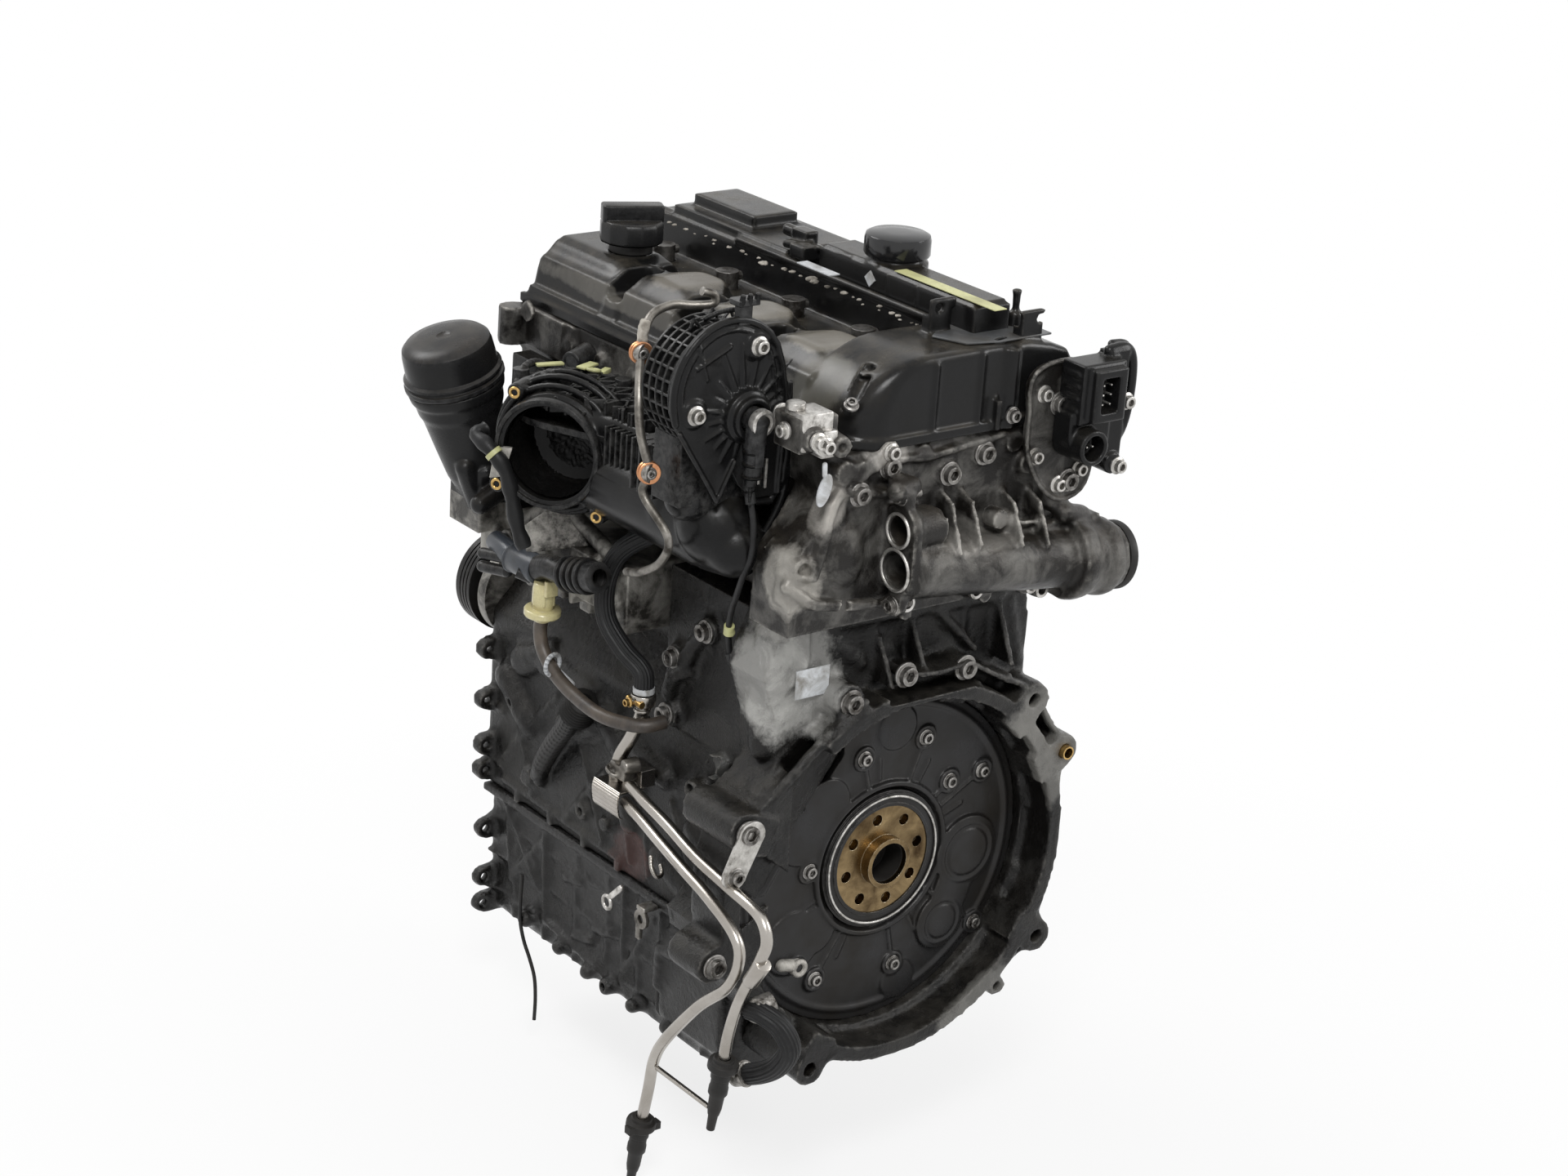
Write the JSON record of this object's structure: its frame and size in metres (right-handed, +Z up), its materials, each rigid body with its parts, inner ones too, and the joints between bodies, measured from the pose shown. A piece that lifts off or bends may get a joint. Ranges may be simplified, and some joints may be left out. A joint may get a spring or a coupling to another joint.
{
  "type": "car engine",
  "caption": "Inline car engine stripped of its belt, turbocharger and throttle, with the gearbox face, crank flange and intake side open to view.",
  "frame": {"origin": "crank axis, at the outer face of the timing end cover", "axes": "+Y along the crank towards the belt end, +X towards the exhaust side, +Z up along the cylinders"},
  "size_m": [0.4294, 0.5689, 0.8077],
  "materials": {
    "block_iron": "cast iron under black oil and dirt",
    "bearing_metal": "machined, oiled",
    "fastener_steel": "zinc plate, worn",
    "clean_aluminium": "cast aluminium with grime",
    "sump_steel": "black paint under oil",
    "cover_steel": "satin dark plate with oil film",
    "head_aluminium": "dirty sand-cast aluminium",
    "gasket": "steel layers, blackened",
    "cover_plastic": "glass-filled black moulding, dusty",
    "cap_plastic": "black moulding",
    "seal_rubber": "black rubber",
    "intake_plastic": "black moulding, oily",
    "brass": "turned brass",
    "filter_paper": "pleated filter paper",
    "bracket_steel": "sheet steel",
    "hose_rubber": "braided black hose",
    "stainless": "bright drawn tube, smeared",
    "coupler_plastic": "grey-blue moulding",
    "return_rubber": "brown oily hose",
    "wire_sleeve": "black plastic insulation",
    "crank_steel": "ground steel with golden brown oil",
    "gear_steel": "hardened steel, oiled",
    "piston_alloy": "machined alloy"
  },
  "bodies": {
    "engine": {"crankcase": "block_iron", "main_bearing_caps": "block_iron", "main_bearing_shells": "bearing_metal", "main_cap_bolts": "fastener_steel", "balance_carrier": "clean_aluminium", "sump": "sump_steel", "timing_end_cover": "cover_steel", "rear_seal": "cover_steel", "front_seal_cover": "cover_steel", "water_pump": "clean_aluminium", "cylinder_head": "head_aluminium", "head_gasket": "gasket", "cam_bearing_frame": "clean_aluminium", "cam_cover": "cover_plastic", "oil_separator": "cover_plastic", "separator_cap": "cap_plastic", "tube_end_plug": "seal_rubber", "actuator_plate": "clean_aluminium", "actuator_body": "intake_plastic", "intake_manifold": "intake_plastic", "upper_chamber": "intake_plastic", "chamber_cover": "intake_plastic", "chamber_sensor": "cap_plastic", "brass_inserts": "brass", "oil_filter_housing": "cap_plastic", "filter_module": "clean_aluminium", "fuel_pressure_line": "bracket_steel", "breather_hose": "hose_rubber", "hose_clamp": "stainless", "coolant_pipe_a": "stainless", "coolant_pipe_b": "stainless", "pipe_bracket": "stainless", "pipe_strap": "stainless", "pipe_boots": "seal_rubber", "lower_hose": "hose_rubber", "quick_coupler": "coupler_plastic", "return_hose": "return_rubber", "sensor_lead": "hose_rubber", "hanging_wire": "wire_sleeve", "earth_lug": "bracket_steel", "torx_screws": "fastener_steel", "flange_bolts": "fastener_steel", "injectors": "fastener_steel", "timing_chain": "gear_steel"},
    "crank": {"crankshaft": "crank_steel", "crank_pulley": "cover_steel"},
    "idler": {"idler_gear": "gear_steel"},
    "balance_left": {"balance_shaft_1": "gear_steel"},
    "balance_right": {"balance_shaft_2": "gear_steel"},
    "intake_cam": {"intake_camshaft": "gear_steel"},
    "exhaust_cam": {"exhaust_camshaft": "gear_steel"},
    "piston_1": {"piston_1": "piston_alloy"},
    "piston_2": {"piston_2": "piston_alloy"},
    "piston_3": {"piston_3": "piston_alloy"},
    "piston_4": {"piston_4": "piston_alloy"},
    "filler_seal": {"filler_cap_seal": "seal_rubber"},
    "filler_cap": {"oil_filler_cap": "cap_plastic"},
    "filter_cap": {"oil_filter_cap": "cap_plastic", "filter_element": "filter_paper"},
    "pump_pulley": {"pump_pulley": "cover_steel"}
  },
  "joints": [
    {"name": "crank_spin", "type": "hinge", "parent": "engine", "child": "crank", "pos_m": [0, 0, 0], "axis": [0, 1, 0], "continuous": true},
    {"name": "idler_spin", "type": "hinge", "parent": "engine", "child": "idler", "pos_m": [0.08445, 0, -0.01337], "axis": [0, 1, 0], "continuous": true},
    {"name": "balance_left_spin", "type": "hinge", "parent": "engine", "child": "balance_left", "pos_m": [-0.036, 0, -0.10182], "axis": [0, 1, 0], "continuous": true},
    {"name": "balance_right_spin", "type": "hinge", "parent": "engine", "child": "balance_right", "pos_m": [0.036, 0, -0.10182], "axis": [0, 1, 0], "continuous": true},
    {"name": "exhaust_cam_spin", "type": "hinge", "parent": "engine", "child": "exhaust_cam", "pos_m": [0.06, 0, 0.385], "axis": [0, 1, 0], "continuous": true},
    {"name": "intake_cam_spin", "type": "hinge", "parent": "engine", "child": "intake_cam", "pos_m": [-0.03, 0, 0.385], "axis": [0, 1, 0], "continuous": true},
    {"name": "piston_1_slide", "type": "slide", "parent": "engine", "child": "piston_1", "axis": [0, 0, 1], "range_m": [-0.0495, 0.0495]},
    {"name": "piston_2_slide", "type": "slide", "parent": "engine", "child": "piston_2", "axis": [0, 0, 1], "range_m": [-0.0495, 0.0495]},
    {"name": "piston_3_slide", "type": "slide", "parent": "engine", "child": "piston_3", "axis": [0, 0, 1], "range_m": [-0.0495, 0.0495]},
    {"name": "piston_4_slide", "type": "slide", "parent": "engine", "child": "piston_4", "axis": [0, 0, 1], "range_m": [-0.0495, 0.0495]},
    {"name": "filler_lift", "type": "slide", "parent": "engine", "child": "filler_seal", "axis": [0, 0, 1], "range_m": [0, 0.06]},
    {"name": "filler_turn", "type": "hinge", "parent": "filler_seal", "child": "filler_cap", "pos_m": [-0.038, 0.35, 0.443], "axis": [0, 0, 1], "range_deg": [0, 90]},
    {"name": "filter_cap_lift", "type": "slide", "parent": "engine", "child": "filter_cap", "axis": [-0.2924, 0, 0.9563], "range_m": [0, 0.12]},
    {"name": "pump_spin", "type": "hinge", "parent": "engine", "child": "pump_pulley", "pos_m": [-0.08, 0, 0.106], "axis": [0, 1, 0], "continuous": true}
  ],
  "couplings": [
    {"joint": "idler_spin", "follows": "crank_spin", "ratio": -0.5},
    {"joint": "balance_left_spin", "follows": "crank_spin", "ratio": -2},
    {"joint": "balance_right_spin", "follows": "crank_spin", "ratio": 2},
    {"joint": "exhaust_cam_spin", "follows": "crank_spin", "ratio": -0.5},
    {"joint": "intake_cam_spin", "follows": "crank_spin", "ratio": 0.5}
  ]
}
